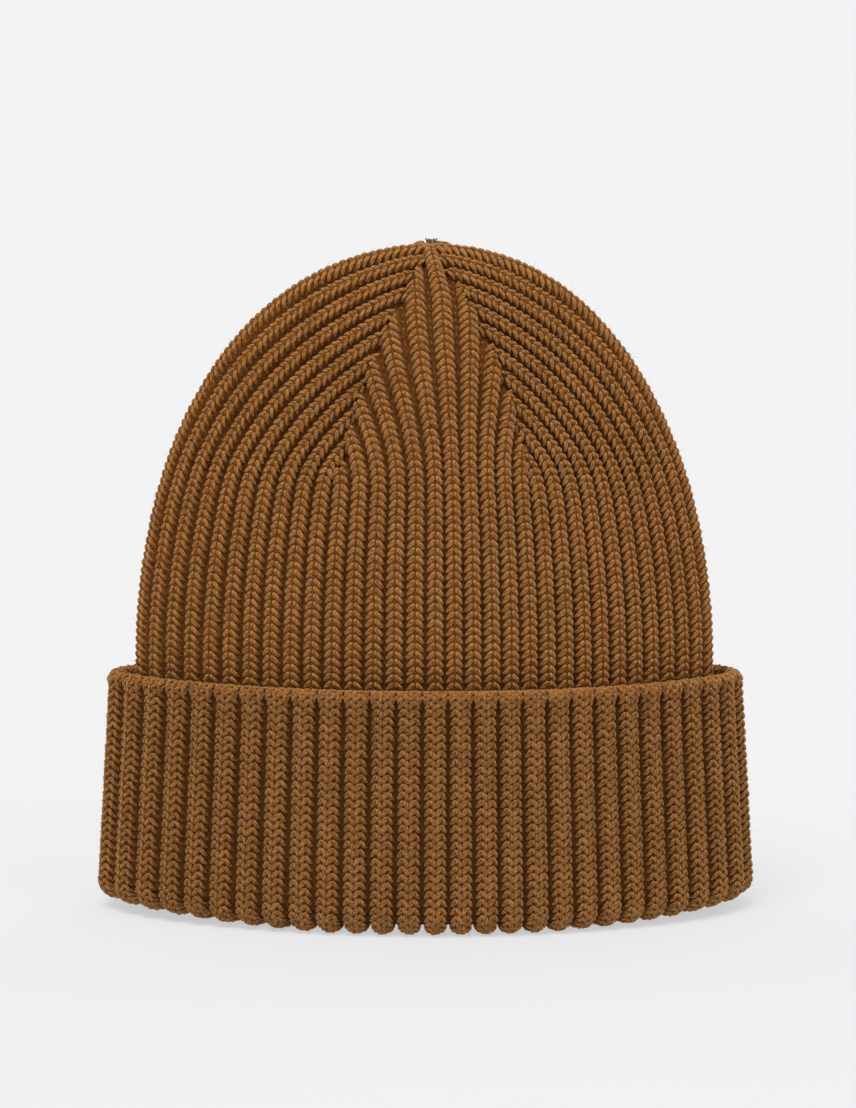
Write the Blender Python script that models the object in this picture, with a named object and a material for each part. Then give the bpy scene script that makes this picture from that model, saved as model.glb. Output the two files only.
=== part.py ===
"""A cuffed rib-knit beanie: its knitted sections, its folded cuff and the yarns that join them.

Metres, +Z up. The front of the hat faces -Y and its width lies along X. The origin is the middle of
the footprint, on the surface that the folded edge stands on. Every piece of knitting is a slab or a
tube bent onto one surface, hat_point, so that whatever changes its size stays in line.
"""
import math

import bmesh
import bpy
import numpy as np

# The crown, measured on its outer face.
CROWN_HALF_WIDTH = 0.0912    # along X, where the crown leaves the cuff
CROWN_HALF_DEPTH = 0.0370    # along Y, at the same level
CROWN_RISE = 0.1310          # from where the crown starts to close, up to the tip
CROWN_FULLNESS = 0.447       # 0.5 closes like an ellipse, and less is fuller
SPRING_ABOVE_CUFF = 0.0034   # the crown starts to close this far above the cuff's edge
SIDE_ROUNDING = 0.30         # share of the depth that lies in the tight bend at each side
FRONT_LEAN = 0.0035          # the front's and back's middles stand this far towards +X
TIP_LEAN = 0.0022            # and the tip this far

# The knitting.
CROWN_KNIT = 0.0040          # thickness of the crown and of the cuff's inner layer
CUFF_KNIT = 0.0050           # thickness of the cuff's chunkier outer layer
CUFF_ROOM = 0.0033           # air between the cuff's two layers
CUFF_HEIGHT = 0.0740
CUFF_FLARE = 0.0045          # how much wider the cuff is at its fold than at its edge
JOIN_BELOW_EDGE = 0.0060     # the band is linked to the body this far below the cuff's edge

# The folded rim, which rests on its front and back and lifts towards the sides.
RIM_LIFT = 0.0034            # at the sides
RIM_FLAT = 0.28              # share of the half width that stands flat
LIFT_FADES_AT = 0.100        # the level where the lift has died out

# The four gores of the crown.
DART_RISE = 0.0670           # from the cuff's edge up to where the darts start
DART_SPREAD = 0.345          # share of the half width between the middle and a dart's start
GORE_TIP = 0.0022            # half width of the front and back gores where they end
GATHER_RADIUS = 0.0050       # half width of the small hole that the drawn yarn closes

# The joining yarns, which lie on the inside.
LINK_RADIUS = 0.0012         # the ring that links the band to the body
YARN_RADIUS = 0.0009         # the dart and back seams and the drawn yarn
KNOT_RISE = 0.0008           # how far the knot stands above the tip

GAP = 0.0003                 # left between pieces that touch
YARN_CLEARANCE = 0.0005      # left between a seam yarn and the knitting that it closes

# How finely the solids are faceted.
AROUND = 64
FOLD_STEPS = 7
YARN_POINTS = 14

KNIT_COLOUR = (0.181, 0.076, 0.023, 1.0)
CUFF_COLOUR = (0.190, 0.080, 0.025, 1.0)
YARN_COLOUR = (0.130, 0.055, 0.018, 1.0)

# What follows from them.
SPRING = CUFF_HEIGHT + SPRING_ABOVE_CUFF
JOIN = CUFF_HEIGHT - JOIN_BELOW_EDGE
DART_BASE = CUFF_HEIGHT + DART_RISE
DART_BASE_CLIMB = (DART_BASE - SPRING) / CROWN_RISE
FOLD_RADIUS = (CROWN_KNIT + CUFF_ROOM + CUFF_KNIT) / 2
FOLD_CENTRE_OFFSET = (CUFF_ROOM + CUFF_KNIT - CROWN_KNIT) / 2
FOLD_TOP = FOLD_RADIUS * math.cos(math.pi / (2 * FOLD_STEPS))
FRONT = math.pi / 2
BACK = -math.pi / 2


def section_depth(angle, roundness):
    """Depth of a level section at an angle round the hat, as a share of its half depth.

    A flat-lying hat is a lens with tightly bent ends, and it turns into an ellipse towards the tip.
    """
    bow = np.sin(angle) ** 2
    end = np.sqrt(np.clip(1 - np.cos(angle) ** 8, 0, None))
    lens = np.sign(np.sin(angle)) * ((1 - SIDE_ROUNDING) * bow + SIDE_ROUNDING * end)
    return (1 - roundness) * lens + roundness * np.sin(angle)


def closing_at(climb):
    """How much of its width the crown keeps at a climb of 0 (its start) to 1 (the tip)."""
    return (1 - climb ** 2) ** CROWN_FULLNESS


def rim_lift(angle, level):
    """How far the fabric lifts off the level of the rim, towards the sides of the hat."""
    side = np.clip((np.abs(np.cos(angle)) - RIM_FLAT) / (1 - RIM_FLAT), 0, 1)
    return RIM_LIFT * side ** 1.5 * np.clip(1 - level / LIFT_FADES_AT, 0, 1)


def hat_point(angle, level, offset):
    """The point at an angle round the hat, at a height on its face, and an offset out of that face.

    The angle is 0 at +X and a quarter turn at the front. Insets are negative offsets.
    """
    climb = np.clip((level - SPRING) / CROWN_RISE, 0, 1)
    closing = closing_at(climb)
    flare = CUFF_FLARE * np.clip(1 - level / CUFF_HEIGHT, 0, 1)
    half_width = (CROWN_HALF_WIDTH + offset) * closing + flare
    half_depth = (CROWN_HALF_DEPTH + offset) * closing + flare
    tip_share = climb ** 8
    lean = TIP_LEAN * tip_share + FRONT_LEAN * (1 - tip_share) * np.sin(angle) ** 2
    x = half_width * np.cos(angle) + lean
    y = -half_depth * section_depth(angle, climb ** 3)
    z = level + offset * climb + rim_lift(angle, level)
    return np.stack([x, y, z], axis=-1)


def level_at(climb):
    return SPRING + CROWN_RISE * climb


def dart_share(climb):
    """Where a dart runs: its distance from the middle, as a share of the half width."""
    run = np.clip((climb - DART_BASE_CLIMB) / (1 - DART_BASE_CLIMB), 0, 1)
    return DART_SPREAD * (1 - run ** 2) ** 0.6


def climb_where(half_width):
    """The climb at which the crown has closed to a half width."""
    return math.sqrt(1 - (half_width / CROWN_HALF_WIDTH) ** (1 / CROWN_FULLNESS))


def front_gore_end():
    """The climb at which the front gore has narrowed to its tip, found by halving."""
    low = DART_BASE_CLIMB
    high = 1.0
    for _ in range(40):
        middle = (low + high) / 2
        if CROWN_HALF_WIDTH * closing_at(middle) * dart_share(middle) > GORE_TIP:
            low = middle
        else:
            high = middle
    return low


def knit_material(name, colour, roughness):
    material = bpy.data.materials.new(name)
    material.use_nodes = True
    shader = material.node_tree.nodes["Principled BSDF"]
    shader.inputs["Base Color"].default_value = colour
    shader.inputs["Roughness"].default_value = roughness
    shader.inputs["Metallic"].default_value = 0.0
    return material


def finish(piece, name, colour, roughness=0.95):
    """Name a piece, shade it smooth, give it its material and put it in the hat's collection."""
    piece.name = name
    piece.data.name = name
    piece.data.materials.clear()
    piece.data.materials.append(knit_material(name, colour, roughness))
    for other in list(piece.users_collection):
        other.objects.unlink(piece)
    hat_parts.objects.link(piece)
    if piece.type == "MESH":
        piece.data.shade_smooth()
        piece.data.set_sharp_from_angle(angle=math.radians(50))
    return piece


def knitted_ring(name, profile, colour):
    """A closed ring round the hat: a torus whose section becomes the profile's (offset, level) points.

    The profile runs from the outside over the top to the inside, as the torus's own section does.
    """
    sides = len(profile)
    bpy.ops.mesh.primitive_torus_add(major_segments=AROUND, minor_segments=sides,
                                     major_radius=1.0, minor_radius=0.3)
    ring = bpy.context.object
    place = np.empty(len(ring.data.vertices) * 3)
    ring.data.vertices.foreach_get("co", place)
    x, y, z = place.reshape(-1, 3).T
    angle = -np.arctan2(y, x)
    turn = np.arctan2(z, np.hypot(x, y) - 1.0)
    corner = np.rint(turn / (2 * math.pi / sides)).astype(int) % sides
    offset, level = np.array(profile).T
    bent = hat_point(angle, level[corner], offset[corner])
    ring.data.vertices.foreach_set("co", bent.ravel())
    return finish(ring, name, colour)


def knitted_slab(name, thickness, climbs, edge_angles, columns, colour):
    """A gore: a flat grid thickened into a slab and bent onto the crown, row by row.

    edge_angles gives the angles of its two edges at a climb, and each row runs back from the second to
    the first, which keeps the slab's faces pointing out once it is bent.
    """
    rows = len(climbs) - 1
    slab = bmesh.new()
    bmesh.ops.create_grid(slab, x_segments=columns, y_segments=rows, size=1.0)
    bmesh.ops.solidify(slab, geom=slab.faces[:], thickness=1.0)
    for vertex in slab.verts:
        row = round((vertex.co.y + 1) / 2 * rows)
        across = (vertex.co.x + 1) / 2
        inset = thickness if vertex.co.z < -0.5 else 0.0
        start, end = edge_angles(climbs[row])
        angle = end + (start - end) * across
        vertex.co = hat_point(angle, level_at(climbs[row]), -inset)
    mesh = bpy.data.meshes.new(name)
    slab.to_mesh(mesh)
    slab.free()
    return finish(bpy.data.objects.new(name, mesh), name, colour)


def yarn(name, points, radius, colour, closed=False):
    """A seam yarn: a round tube through the points, on the inside of the knitting."""
    curve = bpy.data.curves.new(name, "CURVE")
    curve.dimensions = "3D"
    curve.bevel_depth = radius
    curve.bevel_resolution = 2
    curve.use_fill_caps = not closed
    line = curve.splines.new("POLY")
    line.points.add(len(points) - 1)
    for target, point in zip(line.points, points):
        target.co = (*point, 1.0)
    line.use_cyclic_u = closed
    return finish(bpy.data.objects.new(name, curve), name, colour)


def rising_climbs(start, end, rows):
    """Rows that come closer together in height as the crown closes, so that they stay even on it."""
    angles = np.linspace(math.asin(start), math.asin(end), rows + 1)
    return np.sin(angles)


def tube_profile(outer, inner, bottom, top, steps):
    """Outer face upwards, then inner face downwards, in the order that knitted_ring expects."""
    levels = np.linspace(bottom, top, steps + 1)
    outer_face = [(outer, level) for level in levels]
    inner_face = [(inner, level) for level in levels[::-1]]
    return outer_face + inner_face


def arc(centre_offset, centre_level, radius, start, end, steps):
    turns = np.linspace(math.radians(start), math.radians(end), steps + 1)
    return [(centre_offset + radius * math.cos(turn), centre_level + radius * math.sin(turn))
            for turn in turns]


# ---- the crown ----

def make_body_tube():
    top = DART_BASE - GAP / 2
    profile = tube_profile(0.0, -CROWN_KNIT, JOIN + GAP, top, 5)
    knitted_ring("body_tube", profile, KNIT_COLOUR)


def make_front_and_back_gores():
    climbs = rising_climbs(DART_BASE_CLIMB + GAP / 2 / CROWN_RISE, front_gore_end(), 10)

    def half_span(climb):
        slit = GAP / 2 / (CROWN_HALF_WIDTH * closing_at(climb))
        return math.asin(dart_share(climb) - slit)

    for name, middle in (("gore_front", FRONT), ("gore_back", BACK)):
        def edges(climb, middle=middle):
            return middle - half_span(climb), middle + half_span(climb)
        knitted_slab(name, CROWN_KNIT, climbs, edges, 8, KNIT_COLOUR)


def make_side_gores():
    start = DART_BASE_CLIMB + GAP / 2 / CROWN_RISE
    climbs = rising_climbs(start, climb_where(GATHER_RADIUS), 14)

    def half_span(climb):
        slit = GAP / 2 / (CROWN_HALF_WIDTH * closing_at(climb))
        return math.acos(dart_share(climb) + slit)

    for name, middle in (("gore_right", 0.0), ("gore_left", math.pi)):
        def edges(climb, middle=middle):
            return middle - half_span(climb), middle + half_span(climb)
        knitted_slab(name, CROWN_KNIT, climbs, edges, 20, KNIT_COLOUR)


# ---- the cuff ----

def make_cuff_inner():
    profile = tube_profile(0.0, -CROWN_KNIT, FOLD_TOP + GAP, JOIN, 4)
    knitted_ring("cuff_inner", profile, CUFF_COLOUR)


def make_cuff_fold():
    inside = arc(CUFF_ROOM / 2, FOLD_TOP, CUFF_ROOM / 2, 360, 180, 4)
    outside = arc(FOLD_CENTRE_OFFSET, FOLD_TOP, FOLD_RADIUS, 180, 360, FOLD_STEPS)
    knitted_ring("cuff_fold", inside + outside, CUFF_COLOUR)


def make_cuff_outer():
    top = CUFF_HEIGHT - CUFF_KNIT / 2 - GAP
    profile = tube_profile(CUFF_ROOM + CUFF_KNIT, CUFF_ROOM, FOLD_TOP + GAP, top, 4)
    knitted_ring("cuff_outer", profile, CUFF_COLOUR)


def make_cast_on_edge():
    radius = CUFF_KNIT / 2
    profile = arc(CUFF_ROOM + radius, CUFF_HEIGHT - radius, radius, 0, 180, 6)
    knitted_ring("cast_on_edge", profile, CUFF_COLOUR)


# ---- the joining yarns ----

def make_linking_seam():
    centre = -(CROWN_KNIT + YARN_CLEARANCE + LINK_RADIUS)
    profile = arc(centre, JOIN, LINK_RADIUS, 0, 315, 7)
    knitted_ring("linking_seam", profile, YARN_COLOUR)


def inside_line(angles, levels):
    """Points for a seam yarn that lies against the inside of the knitting."""
    return hat_point(angles, levels, -(CROWN_KNIT + YARN_CLEARANCE + YARN_RADIUS))


def make_dart_seams():
    climbs = rising_climbs(DART_BASE_CLIMB, climb_where(4.5 * GATHER_RADIUS), YARN_POINTS)
    spread = np.arcsin(dart_share(climbs))
    levels = level_at(climbs)
    for side, way in (("right", -1), ("left", 1)):
        front = inside_line(FRONT + way * spread, levels)
        back = inside_line(BACK - way * spread, levels)
        yarn("dart_seam_front_" + side, front, YARN_RADIUS, YARN_COLOUR)
        yarn("dart_seam_back_" + side, back, YARN_RADIUS, YARN_COLOUR)


def make_back_seams():
    past_link = LINK_RADIUS + YARN_RADIUS + 2 * GAP
    top = level_at(climb_where(5.5 * GATHER_RADIUS))
    runs = {"back_seam_crown": (JOIN + past_link, top),
            "back_seam_cuff": (FOLD_TOP, JOIN - past_link)}
    for name, (bottom, end) in runs.items():
        levels = np.linspace(bottom, end, YARN_POINTS)
        points = inside_line(np.full(YARN_POINTS, BACK), levels)
        yarn(name, points, YARN_RADIUS, YARN_COLOUR)


def make_gather_ring():
    """The yarn drawn through the last stitches, under the hole at the tip."""
    turns = np.linspace(0, 2 * math.pi, 20, endpoint=False)
    level = level_at(climb_where(1.6 * GATHER_RADIUS))
    yarn("gather_ring", inside_line(turns, np.full(20, level)), YARN_RADIUS, YARN_COLOUR, closed=True)


def make_crown_knot():
    """The knot of that yarn, which fills the hole and stands a little above the tip."""
    hole_depth = CROWN_HALF_DEPTH * closing_at(climb_where(GATHER_RADIUS))
    half_height = CROWN_KNIT / 2
    bpy.ops.mesh.primitive_uv_sphere_add(segments=16, ring_count=8, radius=1.0)
    knot = bpy.context.object
    knot.scale = (GATHER_RADIUS * 0.8, hole_depth * 0.8, half_height)
    knot.location = (TIP_LEAN, 0.0, level_at(1.0) + KNOT_RISE - half_height)
    bpy.ops.object.transform_apply(location=False, rotation=False, scale=True)
    finish(knot, "crown_knot", YARN_COLOUR)


for thing in list(bpy.data.objects):
    bpy.data.objects.remove(thing, do_unlink=True)
hat_parts = bpy.data.collections.new("rib_knit_beanie")
bpy.context.scene.collection.children.link(hat_parts)

make_body_tube()
make_front_and_back_gores()
make_side_gores()
make_cuff_inner()
make_cuff_fold()
make_cuff_outer()
make_cast_on_edge()
make_linking_seam()
make_dart_seams()
make_back_seams()
make_gather_ring()
make_crown_knot()
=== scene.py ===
# %% [markdown]
# # A cuffed rib-knit beanie, stitch by stitch
#
# Knitting is made of one thing, the stitch: a loop of yarn whose two legs lean together like the
# strokes of a caret. This lesson finds where every stitch of a beanie lies, gives each one its two
# plump legs, and lays them over a ribbed cloth that closes the gaps between them.

# %% Load the frame
import math

import bpy
import numpy as np
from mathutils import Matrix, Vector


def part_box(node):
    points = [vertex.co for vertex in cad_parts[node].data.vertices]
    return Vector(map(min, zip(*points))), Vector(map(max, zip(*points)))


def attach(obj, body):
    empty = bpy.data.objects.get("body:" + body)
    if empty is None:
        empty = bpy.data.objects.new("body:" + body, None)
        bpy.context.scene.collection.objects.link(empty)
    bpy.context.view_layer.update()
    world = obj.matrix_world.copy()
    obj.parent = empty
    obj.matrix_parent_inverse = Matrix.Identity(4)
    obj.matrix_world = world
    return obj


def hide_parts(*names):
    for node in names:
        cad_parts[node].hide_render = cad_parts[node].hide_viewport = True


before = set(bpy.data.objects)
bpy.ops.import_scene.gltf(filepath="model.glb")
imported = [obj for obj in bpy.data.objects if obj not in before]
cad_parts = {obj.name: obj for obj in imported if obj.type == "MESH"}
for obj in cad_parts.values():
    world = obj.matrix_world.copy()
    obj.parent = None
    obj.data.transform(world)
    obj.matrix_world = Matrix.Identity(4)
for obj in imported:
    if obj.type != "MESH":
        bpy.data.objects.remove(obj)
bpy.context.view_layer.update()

edge_low, edge_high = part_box("cast_on_edge")
gore_low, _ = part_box("gore_front")
_, side_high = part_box("gore_right")

# %% [markdown]
# ## Sizes
#
# The hat's overall sizes come from the frame, so the knitting always fits it. What the frame can't
# say is how the fabric is knitted: how many ribs, how far apart the rows, how thick the yarn.

# %% Sizes, in metres
CROWN_KNIT = 0.0040      # thickness of the crown's fabric
CUFF_KNIT = 0.0050       # thickness of each layer of the cuff
CUFF_ROOM = 0.0033       # from the crown's face to the cuff's outer layer
CUFF_FLARE = 0.0045      # how much the cuff opens towards the fold
CUFF_HEIGHT = edge_low.z + CUFF_KNIT / 2
HALF_WIDTH = (edge_high.x - edge_low.x) / 2 - CUFF_KNIT - CUFF_ROOM
HALF_DEPTH = (edge_high.y - edge_low.y) / 2 - CUFF_KNIT - CUFF_ROOM
SPRING = CUFF_HEIGHT + 0.0034            # the height where the crown starts to close
RISE = side_high.z - SPRING + 0.0001     # from there to the tip
JOIN = CUFF_HEIGHT - 0.0060              # where the crown is linked to the cuff, out of sight
DART_BASE = gore_low.z                   # the foot of the darts
FULLNESS = 0.447         # power of the crown's outline: less is rounder
SIDE_ROUNDING = 0.30     # how much of the section's end is round rather than pointed
FRONT_LEAN = 0.0035      # the front hangs this far to one side
TIP_LEAN = 0.0022        # and the tip this far
RIM_LIFT = 0.0034        # the rim's two sides lift off the ground, outside its flat part
RIM_FLAT = 0.28
LIFT_FADES_AT = 0.100
DART_SPREAD = 0.345      # the darts' feet, as a part of the half width
FOLD_RADIUS = (CROWN_KNIT + CUFF_ROOM + CUFF_KNIT) / 2
FOLD_OFFSET = (CUFF_ROOM + CUFF_KNIT - CROWN_KNIT) / 2
print("crown rise", round(RISE, 4), "cuff height", round(CUFF_HEIGHT, 4))

# %% How the fabric is knitted
CROWN_RIBS = {"right": 16.5, "left": 15.5}   # in a quarter of the crown
CUFF_RIBS = {"right": 14.0, "left": 13.5}    # in a quarter of the cuff
CROWN_RIB_HALF = 0.00240
WIDEST_RIB_HALF = 0.00350                    # a rib that fans out in a gore gets wider
CROWN_RIB_SHARE = 0.370  # half a rib's width, as a part of the pitch
CROWN_RIB_RELIEF = 0.0024                    # how far its crest stands above its flanks
CROWN_ROW = 0.00240      # from one stitch to the next along a rib
CUFF_RIB_SHARE = 0.375
CUFF_RIB_RELIEF = 0.0026
CUFF_ROW = 0.00248
CUFF_COLUMN = 0.185      # from a cuff rib's middle to each of its two columns, in pitches
YARN = 0.00067           # radius of the yarn in a stitch's leg
CUFF_YARN = 0.00065      # the cuff is knitted tighter
SPACED_BY_WIDTH = 0.55   # how far the ribs keep even spacing across the width, not round the hat

# %% [markdown]
# ## The hat's surface
#
# A hat that lies nearly flat is a lens in section, with tightly bent ends. Each level section
# shrinks towards the tip, and the lens turns into an ellipse. The angle goes round the hat, from 0
# at its right side to a quarter turn at the front; the run is the distance walked up its face.


# %% The surface
def section_depth(angle, roundness):
    """Depth of a section at an angle: a parabola plus a rounded end, blended into a sine."""
    bow = np.sin(angle) ** 2
    end = np.sqrt(np.clip(1 - np.cos(angle) ** 8, 0, None))
    lens = np.sign(np.sin(angle)) * ((1 - SIDE_ROUNDING) * bow + SIDE_ROUNDING * end)
    return (1 - roundness) * lens + roundness * np.sin(angle)


def hat_point(angle, level, offset):
    """The point at an angle and a height, pushed out of the crown's face by an offset.

    The width closes as (1 - climb^2)^fullness, with climb going from 0 where the crown starts to
    close up to 1 at the tip, and the lens rounds off as climb^3. Below the cuff's edge the section
    flares, and its sides lift; the front's lean gives way to the tip's as climb^8.
    """
    climb = np.clip((level - SPRING) / RISE, 0, 1)
    closing = (1 - climb ** 2) ** FULLNESS
    flare = CUFF_FLARE * np.clip(1 - level / CUFF_HEIGHT, 0, 1.1)
    tip_share = climb ** 8
    lean = TIP_LEAN * tip_share + FRONT_LEAN * (1 - tip_share) * np.sin(angle) ** 2
    side = np.clip((np.abs(np.cos(angle)) - RIM_FLAT) / (1 - RIM_FLAT), 0, 1)
    lift = RIM_LIFT * side ** 1.5 * np.clip(1 - level / LIFT_FADES_AT, 0, 1)
    x = ((HALF_WIDTH + offset) * closing + flare) * np.cos(angle) + lean
    y = -((HALF_DEPTH + offset) * closing + flare) * section_depth(angle, climb ** 3)
    z = level + offset * climb + lift
    return np.stack(np.broadcast_arrays(x, y, z), axis=-1)


def crown_point(angle, run):
    """The crown's face. Past its straight part, the run turns into height as a sine, so that equal
    steps of run stay nearly equal steps on the surface all the way to the tip."""
    straight = SPRING - JOIN
    past = np.clip(run - straight, 0, None)
    level = np.where(run < straight, JOIN + run, SPRING + RISE * np.sin(past / RISE))
    return hat_point(angle, level, 0.0)


# %% The cuff's path
EDGE_RADIUS = CUFF_KNIT / 2
EDGE_LEVEL = CUFF_HEIGHT - EDGE_RADIUS
EDGE_TUCK = 0.0076       # how far the cast-on edge goes down on its hidden side


def walked(points):
    """The distance walked along a row of points, at each of them."""
    return np.concatenate([[0], np.cumsum(np.linalg.norm(np.diff(points, axis=0), axis=1))])


def arc(centre, radius, start, end, count):
    """Points of a circle between two turns, without its two ends."""
    turn = np.linspace(start, end, count)[1:-1]
    return np.stack([centre[0] + radius * np.cos(turn), centre[1] + radius * np.sin(turn)], axis=1)


def cuff_path():
    """The band's path in (offset, level): up the outer layer's hidden side, over the cast-on edge,
    down the outside, round the fold, and up the inside to where the band is linked to the body."""
    hidden = np.array([[CUFF_ROOM, EDGE_LEVEL - EDGE_TUCK], [CUFF_ROOM, EDGE_LEVEL]])
    edge = arc((CUFF_ROOM + EDGE_RADIUS, EDGE_LEVEL), EDGE_RADIUS, math.pi, 0, 26)
    down = np.linspace(EDGE_LEVEL, FOLD_RADIUS, 40)
    outside = np.stack([np.full(40, CUFF_ROOM + CUFF_KNIT), down], axis=1)
    fold = arc((FOLD_OFFSET, FOLD_RADIUS), FOLD_RADIUS, 0, -math.pi, 42)
    up = np.linspace(FOLD_RADIUS, JOIN, 30)
    inside = np.stack([np.full(30, -CROWN_KNIT), up], axis=1)
    path = np.concatenate([hidden, edge, outside, fold, inside])
    return path, walked(path)


CUFF_PATH, CUFF_RUNS = cuff_path()
TOP_RUN = EDGE_TUCK + math.pi * EDGE_RADIUS / 2
FACE_RUN = EDGE_TUCK + math.pi * EDGE_RADIUS
FOLD_RUN = FACE_RUN + EDGE_LEVEL - FOLD_RADIUS
INNER_RUN = FOLD_RUN + math.pi * FOLD_RADIUS


def cuff_point(angle, run):
    """The cuff's face, where run is the distance along the band's path from its hidden start."""
    offset = np.interp(run, CUFF_RUNS, CUFF_PATH[:, 0])
    level = np.interp(run, CUFF_RUNS, CUFF_PATH[:, 1])
    return hat_point(angle, level, offset)


def unit(vectors):
    """Each vector divided by its own length."""
    return vectors / np.maximum(np.linalg.norm(vectors, axis=-1, keepdims=True), 1e-12)


def round_step(surface, angle, run, turn):
    """A step round the hat, towards its right side, from a small turn of the angle each way."""
    return surface(angle - turn, run) - surface(angle + turn, run)


def run_step(surface, angle, run, way=0.0003):
    """A step along the run, from a small way of it each way."""
    return surface(angle, run + way) - surface(angle, run - way)


def face_normal(surface, angle, run):
    """Normals that point out of the fabric: the cross product of the steps round the hat and along
    the run. The cuff's run goes down on the outside, so its step is turned round."""
    along = run_step(surface, angle, run)
    if surface is cuff_point:
        along = -along
    return unit(np.cross(round_step(surface, angle, run, 0.002), along))


# %% [markdown]
# ## Where the ribs run
#
# A rib is a line on the surface with a number, counted from 0 in the middle of the front to both
# sides. Its share tells where it lies in a row: 0 in the middle, 1 at the side. Up to the darts
# the shares stay as they are. Above, each dart swallows ribs: the front gore's ribs fan out and
# run into it, and the side gore's ribs bend over along the outline until they meet it.

# %% Rows and shares
ROW_STEP = 0.0006        # the rows the shares are worked out for, finer than the knitted ones
DART_RUN = SPRING - JOIN + RISE * math.asin((DART_BASE - SPRING) / RISE)
RUNS = np.arange(0, SPRING - JOIN + RISE * (math.pi / 2 - 0.02), ROW_STEP)
HEIGHTS = crown_point(math.pi / 2, RUNS)[:, 2]
CLIMB = (HEIGHTS - DART_BASE) / (SPRING + RISE - DART_BASE)    # 0 at the darts' foot, 1 at the tip
BASE_ROW = int(np.argmax(CLIMB >= 0))
QUARTER_ANGLES = np.linspace(math.pi / 2, 0, 241)


def share_tables(surface, runs):
    """Shares for every row and quarter angle, and how much share there is to a metre at the middle.

    A share mixes the distance walked round the hat with the distance across its width."""
    points = surface(QUARTER_ANGLES[None, :], runs[:, None])
    points[..., 0] -= FRONT_LEAN * np.sin(QUARTER_ANGLES) ** 2
    steps = np.linalg.norm(np.diff(points, axis=1), axis=2)
    round_hat = np.concatenate([np.zeros((len(runs), 1)), np.cumsum(steps, axis=1)], axis=1)
    across = points[..., 0] - points[:, :1, 0]
    total, width = round_hat[:, -1:], across[:, -1:]
    shares = (1 - SPACED_BY_WIDTH) * round_hat / total + SPACED_BY_WIDTH * across / width
    per_metre = (1 - SPACED_BY_WIDTH) / total[:, 0] + SPACED_BY_WIDTH / width[:, 0]
    return shares, per_metre


SHARES, PER_METRE = share_tables(crown_point, RUNS)


def dart_shares():
    """Where the dart lies in each row: its part of the half width is spread * (1 - s^2)^0.6."""
    start = (DART_BASE - SPRING) / RISE
    climb = np.clip(start + CLIMB * (1 - start), start, 1)
    s = np.clip((climb - start) / (1 - start), 0, 1)
    angles = np.arccos(DART_SPREAD * (1 - s ** 2) ** 0.6)
    return np.array([np.interp(-a, -QUARTER_ANGLES, row) for a, row in zip(angles, SHARES)])


DART_SHARES = dart_shares()
DART_LEAN = np.cos(np.arctan(np.gradient(DART_SHARES / PER_METRE, ROW_STEP)))


def ease(x):
    """Goes smoothly from 0 to 1 as x does: 3 x^2 - 2 x^3."""
    x = np.clip(x, 0, 1)
    return x * x * (3 - 2 * x)


# %% Rib lines
FAN_SPREAD = 0.56        # the middle gore's ribs spread by this part as they climb
FAN_CLOSING = 0.5        # and draw together by this part in the last quarter
SWAY = {"front": -1.05, "back": 0.35}        # how far the fan's top leans over, in pitches
SWALLOW = 0.72           # power by which the side gores' ribs run into a dart
MEAN_RIBS = 16           # in a quarter of the crown
SMOOTHED_ROWS = 9        # the bend where the lines pass the darts' foot is smoothed over these
FOOT_REACH = 12          # and full smoothing goes on this many rows above the foot


def gore_shares(numbers, face):
    """The middle gore's ribs: their distances from the middle grow as they climb, and the whole fan
    sways to one side, as in a crown drawn closed by hand."""
    s = CLIMB[:, None]
    spread = 1 + FAN_SPREAD * ease((s + 0.05) / 0.75) - FAN_CLOSING * ease((s - 0.72) / 0.28)
    sway = SWAY[face] * ease((s + 0.1) / 0.85)
    base = base_place(numbers)[None, :]
    ribs_to_metre = MEAN_RIBS * PER_METRE[BASE_ROW]
    return (base * spread + sway / ribs_to_metre) * PER_METRE[:, None], spread / ribs_to_metre


def quarter_ribs(numbers, counts):
    """How many ribs the quarter has in which each number lies."""
    return np.where(np.asarray(numbers) >= 0, counts["right"], counts["left"])


def base_place(numbers):
    """Signed distances from the middle of the front, at the foot of the darts."""
    return numbers / quarter_ribs(numbers, CROWN_RIBS) / PER_METRE[BASE_ROW]


def swallowed(numbers):
    """For each row, the number that has just run into the dart from the side gore's side."""
    ribs = quarter_ribs(numbers, CROWN_RIBS)[None, :]
    foot = ribs * DART_SHARES[BASE_ROW]
    s = np.clip(CLIMB, 0, 0.9995)[:, None]
    return foot + (ribs - foot) * (1 - (1 - s) ** SWALLOW), ribs


def side_shares(numbers):
    """The side gore's ribs share out what lies between the dart and the side."""
    at_dart, ribs = swallowed(numbers)
    dart = DART_SHARES[:, None]
    part = (np.abs(numbers)[None, :] - at_dart) / (ribs - at_dart)
    shares = dart + (1 - dart) * np.maximum(part, -0.3)
    pitch = (1 - dart) / (ribs - at_dart) / PER_METRE[:, None]
    return shares * np.sign(numbers)[None, :], pitch


def rib_lines(numbers, face, gore):
    """Signed shares and pitches, a row for each row of the crown and a column for each rib."""
    numbers = np.asarray(numbers, float)
    straight = (numbers / quarter_ribs(numbers, CROWN_RIBS))[None, :]
    above, pitch = gore_shares(numbers, face) if gore else side_shares(numbers)
    shares = np.where(CLIMB[:, None] < 0, straight * np.ones_like(above), above)
    even = 1 / (quarter_ribs(numbers, CROWN_RIBS)[None, :] * PER_METRE[:, None])
    pitches = np.where(CLIMB[:, None] < 0, even, pitch * np.ones_like(above))
    past_foot = np.arange(len(RUNS)) - BASE_ROW
    near_foot = 1 - ease((past_foot - FOOT_REACH) / (2 * FOOT_REACH))[:, None]
    return [line + (smooth_rows(line, SMOOTHED_ROWS) - line) * near_foot
            for line in (shares, pitches)]


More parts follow.
